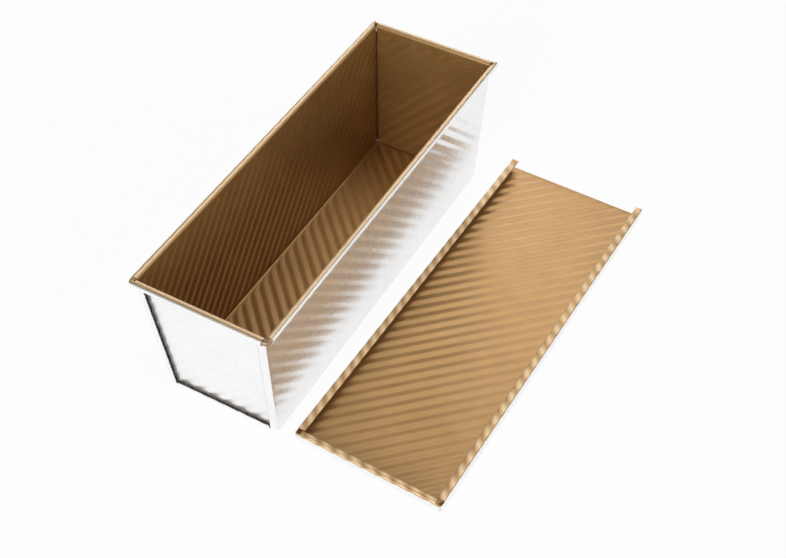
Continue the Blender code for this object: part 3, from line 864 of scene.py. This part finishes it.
def makeLid():
    rise = lid["depth"] - skin - lidRest

    def lipFold(half, width):
        fold = FoldLine(0.0, lidRest, 0.0).straight(half - lid["inset"] - skin - lid["bend"])
        fold.bend(lid["bend"], math.pi / 2, lid["bendSteps"])
        fold.straight(rise - 2 * lid["bend"])
        fold.bend(lid["bend"], math.pi / 2, lid["bendSteps"])
        fold.straight(width - sheet["thickness"] - lid["bend"] - lid["hemBend"])
        fold.bend(lid["hemBend"], math.pi, lid["hemSteps"])
        return fold.straight(lid["hemReturn"])

    section = lipFold(lid["width"] / 2, lid["lip"])
    front = lipFold(lid["length"] / 2, lid["stop"])
    bends = lid["bendSteps"]
    sideBend, sideWall = section.stops[1], section.stops[1 + bends]
    sideTop, topStart = section.stops[2 + bends], section.stops[2 + 2 * bends]
    topEnd = section.stops[3 + 2 * bends]
    stopBend, stopTop = front.stops[1], front.stops[2 + bends]
    stopEnd = front.stops[3 + 2 * bends]
    stopLipHalf = lid["width"] / 2 - lid["lip"] + lid["relief"]
    lipStart = lid["length"] / 2 - lid["stop"] - lid["relief"]
    farEnd = lid["length"] / 2 - lid["inset"]
    curl = lid["cornerCurl"]
    curlStart = curl + skin - farEnd
    curlEnd = curlStart - curl * lid["curlReach"]
    finger, margin = lid["finger"], lid["margin"]

    def room(distance, y):
        edge = ease(sideBend - margin - distance, 0.0, finger)
        near = ease(y + stopBend - margin, 0.0, finger)
        far = ease(farEnd - lid["farMargin"] - y, 0.0, finger)
        return min(edge, near, far)

    def lipPress(phase, place, start, end):
        inside = min(ease(place, start, start + lid["bend"]), ease(-place, -end, -end + lid["bend"]))
        return lidCrest * lid["lipRidge"] * ridgeWave(phase) * inside

    def shape(s, y):
        side, distance = math.copysign(1, s), abs(s)
        phase = (s - y) * math.cos(sheet["ridgeTurn"])
        if y < -stopBend and distance < sideBend + tiny:
            place, left = front.at(-y), front.left(-y)
            press = lipPress(phase, -y, stopTop, stopEnd)
            return Vector((s, -place.x - left.x * press, place.y + left.y * press))
        place, left = section.at(distance), section.left(distance)
        press = pressedHeight(phase, lidCrest, room(distance, y))
        if distance > sideTop:
            press = lipPress(phase, distance, sideTop, topEnd)
        width = place.x + left.x * press
        if y < curlStart and distance > sideBend:
            turned = (curlStart - y) / curl
            y = curlStart - curl * math.sin(turned)
            width -= curl * (1 - math.cos(turned))
        return Vector((side * width, y, place.y + left.y * press))

    def coats(s, y):
        distance = abs(s)
        wave = ridgeWave((s - y) * math.cos(sheet["ridgeTurn"]))
        outer = ease(distance, sideTop, topStart)
        if y < -stopBend and distance < sideBend + tiny:
            end = stopTop - lid["coatEnd"]
            outer = ease(-y + lid["coatWave"] * wave, end - lid["coatFade"], end)
        # values above 1 tint the lips lighter as a painted highlight, stronger on the crests and weaker
        # between
        return 1.0, outer * (lid["lipHighlight"] + lid["lipFlankHighlight"] * wave)

    # the lid carries no painted seam shade, only its ridge phase
    def shadePlace(s, y):
        return (sheet["farOff"], sheet["farOff"], (s - y) * math.cos(sheet["ridgeTurn"]) / ridgeAcross)

    def keep(centre):
        distance, y = abs(centre.x), centre.y
        if y > farEnd or distance > section.stops[-1] or -y > front.stops[-1]:
            return False
        if distance < sideBend:
            return -y < stopTop or distance < stopLipHalf
        if distance < sideWall:
            return y > -stopBend
        if distance < sideTop:
            return y > curlEnd
        return y > -lipStart

    mesh = makeStrips(section.stops[-1] + lid["length"] / 2 + lid["spare"], -sheet["ridgeTurn"])
    trimBlank(mesh, lambda c: abs(c.x) < lid["length"] and abs(c.y) < lid["length"])
    whole = geometryWhere(mesh)
    sides = (section.stops + steps(sideBend - margin - finger, sideBend - margin, tin["fingerSteps"])
             + [stopLipHalf])
    ends = (steps(farEnd - lid["farMargin"] - finger, farEnd - lid["farMargin"], tin["fingerSteps"])
            + steps(margin - stopBend, margin + finger - stopBend, tin["fingerSteps"])
            + [farEnd, -lipStart] + [-stop for stop in front.stops[1:]]
            + steps(curlStart, curlEnd, lid["curlSteps"])
            + steps(-stopTop, lid["coatEnd"] + lid["coatFade"] + lid["coatWave"] - stopTop,
                    lid["coatSteps"])[1:])
    whole = scoreLines(mesh, whole, across(sides))
    scoreLines(mesh, whole, along(ends))
    trimBlank(mesh, keep)
    piece = sheetPiece("lidSheet", mesh, shape, coats, shadePlace,
                       [sheetFinish("lidCoating"), sheetFinish("lidSteel", ragged=lid["ragged"])])
    place = Matrix.Translation((lid["x"], lid["y"], 0.0)) @ Matrix.Rotation(lid["turn"], 4, "Z")
    piece.data.transform(place)
    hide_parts("lid")
    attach(piece, "lid")
    print("lid made:", len(piece.data.polygons), "faces")


# Floor, lights and camera
studio = {
    "floorSize": 8.0, "floorColour": (0.93, 0.93, 0.935), "floorGlow": 0.93, "floorDrop": 0.0001,
    "horizon": 1.0, "sky": 0.03, "skyFrom": 0.03, "skyTo": 0.2,   # world strength, by the ray's height
    "skyLean": 0.4,              # the white reaches higher on the right
    "aim": (0.08, 0.02, 0.0), "lampDistance": 2.2, "lampSize": 1.1,
    # degrees clockwise from +Y, degrees above the floor, watts
    "lamps": {"backLeft": (-30, 25, 10.6), "above": (-8, 59, 7.8), "aboveRight": (22, 59, 6.2),
              "front": (180, 22, 26.0), "frontAbove": (180, 50, 7.0), "right": (90, 36, 8.0)},
}


def seenRays(tree):
    # 1 for rays from the camera, in a gloss or through glass
    path = tree.nodes.new("ShaderNodeLightPath")
    total = addMath(tree, "ADD", path.outputs["Is Camera Ray"], path.outputs["Is Glossy Ray"])
    return addMath(tree, "ADD", total, path.outputs["Is Transmission Ray"], clamp=True)


def makeFloor():
    mesh = bmesh.new()
    bmesh.ops.create_grid(mesh, x_segments=1, y_segments=1, size=studio["floorSize"] / 2)
    data = bpy.data.meshes.new("floor")
    mesh.to_mesh(data)
    mesh.free()
    floor = bpy.data.objects.new("floor", data)
    scene.collection.objects.link(floor)
    floor.location.z = -studio["floorDrop"]
    material = bpy.data.materials.new("paleFloor")
    material.use_nodes = True
    tree = material.node_tree
    tree.nodes.remove(tree.nodes["Principled BSDF"])
    diffuse = tree.nodes.new("ShaderNodeBsdfDiffuse")
    diffuse.inputs["Color"].default_value = (*studio["floorColour"], 1.0)
    glow = tree.nodes.new("ShaderNodeEmission")
    mix = tree.nodes.new("ShaderNodeMixShader")
    tree.links.new(addMath(tree, "MULTIPLY", seenRays(tree), studio["floorGlow"]), mix.inputs[0])
    tree.links.new(diffuse.outputs[0], mix.inputs[1])
    tree.links.new(glow.outputs[0], mix.inputs[2])
    tree.links.new(mix.outputs[0], tree.nodes["Material Output"].inputs["Surface"])
    data.materials.append(material)


def makeWorld():
    # white at the horizon, behind low views, and nearly dark above, so that the ridges keep their contrast
    world = bpy.data.worlds.new("studio")
    scene.world = world
    world.use_nodes = True
    tree = world.node_tree
    split = tree.nodes.new("ShaderNodeSeparateXYZ")
    tree.links.new(tree.nodes.new("ShaderNodeTexCoord").outputs["Generated"], split.inputs[0])
    lean = addMath(tree, "MULTIPLY", addMath(tree, "MAXIMUM", split.outputs[0], 0.0), studio["skyLean"])
    height = addMath(tree, "SUBTRACT", split.outputs[2], lean)
    strength = mapRange(tree, height, studio["skyFrom"], studio["skyTo"],
                        studio["horizon"], studio["sky"], smooth=True)
    background = tree.nodes["Background"]
    background.inputs["Color"].default_value = (1.0, 1.0, 1.0, 1.0)
    tree.links.new(strength, background.inputs["Strength"])


def makeLamp(name, azimuth, height, power):
    light = bpy.data.lights.new(name, "AREA")
    light.shape = "SQUARE"
    light.size = studio["lampSize"]
    light.energy = power
    lamp = bpy.data.objects.new(name, light)
    scene.collection.objects.link(lamp)
    azimuth, height = math.radians(azimuth), math.radians(height)
    way = Vector((math.sin(azimuth) * math.cos(height),
                  math.cos(azimuth) * math.cos(height), math.sin(height)))
    lamp.location = Vector(studio["aim"]) + way * studio["lampDistance"]
    lamp.rotation_euler = (-way).to_track_quat("-Z", "Y").to_euler()


camera = {
    "azimuth": 29.843, "elevation": 47.687, "roll": -0.348,   # degrees
    "target": (0.047681, 0.017984, 0.0), "distance": 1.103831,
    "focalPixels": 1315.11, "imageWidth": 786, "sensor": 36.0,
}


def makeCamera():
    azimuth, elevation, roll = (math.radians(camera[k]) for k in ("azimuth", "elevation", "roll"))
    back = Vector((math.sin(azimuth) * math.cos(elevation),
                   -math.cos(azimuth) * math.cos(elevation), math.sin(elevation)))
    right = Vector((math.cos(azimuth), math.sin(azimuth), 0.0))
    up = back.cross(right)
    turned = (right * math.cos(roll) + up * math.sin(roll), up * math.cos(roll) - right * math.sin(roll))
    data = bpy.data.cameras.new("photoCamera")
    data.sensor_width = camera["sensor"]
    data.lens = camera["focalPixels"] * camera["sensor"] / camera["imageWidth"]
    eye = bpy.data.objects.new("photoCamera", data)
    scene.collection.objects.link(eye)
    place = Matrix((*turned, back)).transposed().to_4x4()
    place.translation = Vector(camera["target"]) + back * camera["distance"]
    eye.matrix_world = place
    scene.camera = eye


makeWrap()
makePanel("frontPanelSheet", "front_end_panel", -1)
makePanel("backPanelSheet", "back_end_panel", 1)
makeWire()
makeLid()
makeFloor()
makeWorld()
for name, values in studio["lamps"].items():
    makeLamp(name + "Lamp", *values)
makeCamera()
scene.view_settings.view_transform = "Standard"
print("studio ready")
